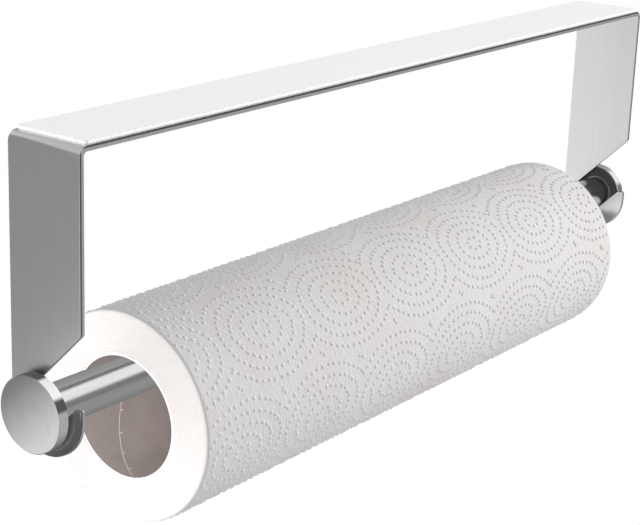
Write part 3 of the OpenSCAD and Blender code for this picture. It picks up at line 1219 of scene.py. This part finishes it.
def glowing_sheet(name, data, shade, one_sided=False):
    """A stage object that glows as shade says, and that throws no light or shadow on the object."""
    sheet = bpy.data.objects.new(name, data)
    scene.collection.objects.link(sheet)
    material = bpy.data.materials.new(name + "_glow")
    material.use_nodes = True
    tree = material.node_tree
    tree.nodes.clear()
    place = add(tree, "ShaderNodeTexCoord").outputs["Object"]
    glow = add(tree, "ShaderNodeEmission", {"Color": linear("FFFFFF"), "Strength": shade(tree, place)})
    if one_sided:
        behind = add(tree, "ShaderNodeNewGeometry").outputs["Backfacing"]
        clear = add(tree, "ShaderNodeBsdfTransparent").outputs[0]
        glow = add(tree, "ShaderNodeMixShader", {0: behind, 1: glow.outputs[0], 2: clear})
    add(tree, "ShaderNodeOutputMaterial", {"Surface": glow.outputs[0]})
    data.materials.append(material)
    sheet.visible_diffuse = False
    sheet.visible_shadow = False
    sheet.visible_transmission = False
    sheet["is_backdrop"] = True
    return sheet


# %% Floor, grey card and roll flag
def build_floor():
    height = cad_box[0].z - 1.0
    reach = 12.0
    around = ((-reach, -reach), (reach, -reach), (reach, reach), (-reach, reach))
    corners = [(x, y, height) for x, y in around]
    sheet = glowing_sheet("floor", four_sided("floor", corners), even(1.0))
    sheet.visible_glossy = False
    return sheet


def build_roll_flag():
    """Stands in for the dark side of the roll, which reflections do not see, in the far hook."""
    x = mm(165)
    front, back = -mm(9), mm(22)
    top, bottom = -mm(102.5), -mm(122)
    corners = [(x, front, bottom), (x, back, bottom), (x, back, top), (x, front, top)]
    shade = graded((0, 0, 1), bottom, top, 0.4, 0.12)
    flag = glowing_sheet("roll_flag", four_sided("roll_flag", corners), shade)
    flag.visible_camera = False
    return flag


def build_grey_card():
    """Square to the line along which the left plate mirrors the room behind it."""
    line = Vector((-0.767, 0.565, -0.302))
    middle = Vector((left_disc.left, rod.y, -mm(30))) + line * mm(80)
    across = Vector((-line.y, line.x, 0)).normalized()
    up = line.cross(across).normalized()
    up = up if up.z > 0 else -up
    low, high, half = -mm(120), mm(130), mm(120)
    corners = [
        middle + up * low - across * half,
        middle + up * low + across * half,
        middle + up * high + across * half,
        middle + up * high - across * half,
    ]
    shade = graded((0, 0.72, 0.69), -mm(64), -mm(33), 1.12, 0.3)
    card = glowing_sheet("grey_card", four_sided("grey_card", corners), shade)
    card.visible_camera = False
    return card


# %% Flags beside the discs
BLACK_CARD = 0.07


def turns_between(start, stop, steps):
    """Angles in radians, evenly spaced between two that are given in degrees."""
    return [math.radians(start + (stop - start) * step / steps) for step in range(steps + 1)]


def build_flag(name, x, inner, outer, start, stop):
    """A sector of a black ring round the rod: it darkens what a face beside a disc mirrors."""
    mesh = bmesh.new()
    rings = []
    for reach in (inner, outer):
        turns = turns_between(start, stop, 24)
        places = [(rod.y + reach * math.cos(turn), rod.z + reach * math.sin(turn)) for turn in turns]
        rings.append([mesh.verts.new((x, y, z)) for y, z in places])
    for near, after, far, across in zip(rings[0], rings[0][1:], rings[1], rings[1][1:]):
        mesh.faces.new((near, after, across, far))
    data = bpy.data.meshes.new(name)
    mesh.to_mesh(data)
    mesh.free()
    flag = glowing_sheet(name, data, even(BLACK_CARD))
    flag.visible_camera = False
    return flag


# %% Cards bent round the near disc
RIM_STOPS = [       # degrees from the front, downwards; and the brightness there
    (-79, 0.14),
    (-73, 1.40),
    (-39, 1.55),
    (-33, 0.14),
    (-18, 0.14),
    (-13, 0.66),
    (16, 0.62),
    (31, 0.42),
    (43, 0.26),
    (56, 0.17),
]


def build_bent_card(name, gap, start, stop, shade):
    """A card bent round the near disc, this far off its rim, that glows on one side.

    It glows inwards if it runs from a small angle to a large one, and outwards if it runs back.
    """
    reach = left_disc.radius + gap
    left, right = left_disc.left + mm(0.5), left_disc.right + mm(1.3)
    steps = 48
    places = []
    for turn in turns_between(start, stop, steps):
        y, z = rod.y + reach * math.cos(turn), rod.z + reach * math.sin(turn)
        places += [(left, y, z), (right, y, z)]
    faces = [(2 * step, 2 * step + 1, 2 * step + 3, 2 * step + 2) for step in range(steps)]
    data = bpy.data.meshes.new(name)
    data.from_pydata(places, [], faces)
    card = glowing_sheet(name, data, shade, one_sided=True)
    card.visible_camera = False
    return card


# %% Set the stage
floor = build_floor()
card = build_grey_card()
roll_flag = build_roll_flag()
hook_flag = build_flag("hook_flag", left_disc.left + mm(1), mm(13.4), mm(32), 180, 292)
rim_card = build_bent_card("rim_card", mm(0.8), 58, 252, round_the_rod(RIM_STOPS))
lip_card = build_bent_card("lip_card", mm(0.9), 310, 160, even(0.1))
back_flag = build_flag("back_flag", left_disc.right + mm(0.3), mm(7.4), mm(13.2), 150, 310)
disc_flag = build_flag("disc_flag", right_disc.left - mm(2.4), mm(7.4), mm(17), 0, 360)
stage_objects = [floor, card, roll_flag, hook_flag, rim_card, lip_card, back_flag, disc_flag]
print("stage:", ", ".join(made.name for made in stage_objects))

# %% [markdown]
# The embossing needs a light that rakes along the roll from the right, so that each dot has a
# bright side and a dark side. A softer one from behind on the left whitens the end of the roll.
# Two more are linked to single pieces, as if flagged off the rest: one for the top of the liner
# and one that looks into the core. Reflections see none of them, nor the roll, whose image in
# the rod would be stronger than it is in a real, larger studio.

# %% Lights
def area_light(name, direction, distance, size, energy, only=(), shadows=True):
    """A square soft light, pointed at the middle of the object, for some pieces or for all."""
    aim = (cad_box[0] + cad_box[1]) / 2
    light = bpy.data.lights.new(name, "AREA")
    light.shape = "SQUARE"
    light.size = size
    light.energy = energy
    light.use_shadow = shadows
    lamp = bpy.data.objects.new(name, light)
    scene.collection.objects.link(lamp)
    away = Vector(direction).normalized()
    lamp.location = aim + away * distance
    lamp.rotation_mode = "QUATERNION"
    lamp.rotation_quaternion = away.to_track_quat("Z", "Y")
    lamp.visible_glossy = False
    lamp.visible_camera = False
    if only:
        receivers = bpy.data.collections.new(name + "_receivers")
        for part in only:
            receivers.objects.link(part)
        lamp.light_linking.receiver_collection = receivers
    return lamp


for part in (roll, tail, core_tube):
    part.visible_glossy = False


key = area_light("key_light", (0.9, -0.38, 0.2), 4.0, 1.0, 138)
end_fill = area_light("end_fill", (-0.8, 0.5, -0.3), 1.5, 1.0, 16.5, shadows=False)
top_light = area_light("liner_light", (0.1, -0.3, 1.0), 2.0, 1.0, 15, [liner, foam_pad])
core_light = area_light("core_light", (-0.8, -0.55, 0.25), 1.5, 0.8, 12.5, [core_tube], shadows=False)
print("lights:", [lamp.name for lamp in (key, end_fill, top_light, core_light)])

# %% [markdown]
# ## The camera
#
# A lens of about 100 mm from 0.7 m away, left of the holder and a little above it. The
# holder fills the frame, and its left end is much nearer than its right one.

# %% Camera
CAMERA_AZIMUTH = -53.616
CAMERA_ELEVATION = 17.593
CAMERA_ROLL = 2.112
CAMERA_DISTANCE = 0.7018
CAMERA_LENS = 99.52
aim = Vector((mm(-16.48), mm(15.35), mm(-83.12)))


def build_camera():
    data = bpy.data.cameras.new("camera")
    data.lens = CAMERA_LENS
    data.sensor_width = 36.0
    camera = bpy.data.objects.new("camera", data)
    scene.collection.objects.link(camera)
    around, up = math.radians(CAMERA_AZIMUTH), math.radians(CAMERA_ELEVATION)
    back = Vector((math.sin(around) * math.cos(up), -math.cos(around) * math.cos(up), math.sin(up)))
    right = (-back).cross(Vector((0, 0, 1))).normalized()
    over = back.cross(right)
    tilt = math.radians(CAMERA_ROLL)
    rolled_right = right * math.cos(tilt) + over * math.sin(tilt)
    rolled_up = over * math.cos(tilt) - right * math.sin(tilt)
    turn = Matrix((rolled_right, rolled_up, back)).transposed().to_4x4()
    camera.matrix_world = Matrix.Translation(aim + back * CAMERA_DISTANCE) @ turn
    scene.camera = camera
    return camera


camera = build_camera()
scene.view_settings.view_transform = "Standard"
print("camera at", [round(c, 4) for c in camera.location])

# %% [markdown]
# ## Size against the CAD model
#
# The visual model's box is measured, and how far it stands out of the CAD box is printed.

# %% Compare the sizes and finish
visual_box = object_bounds()
grown = [max(cad_box[0][i] - visual_box[0][i], visual_box[1][i] - cad_box[1][i]) for i in range(3)]
print("proud of the CAD box, mm:", [round(side * 1000, 2) for side in grown])
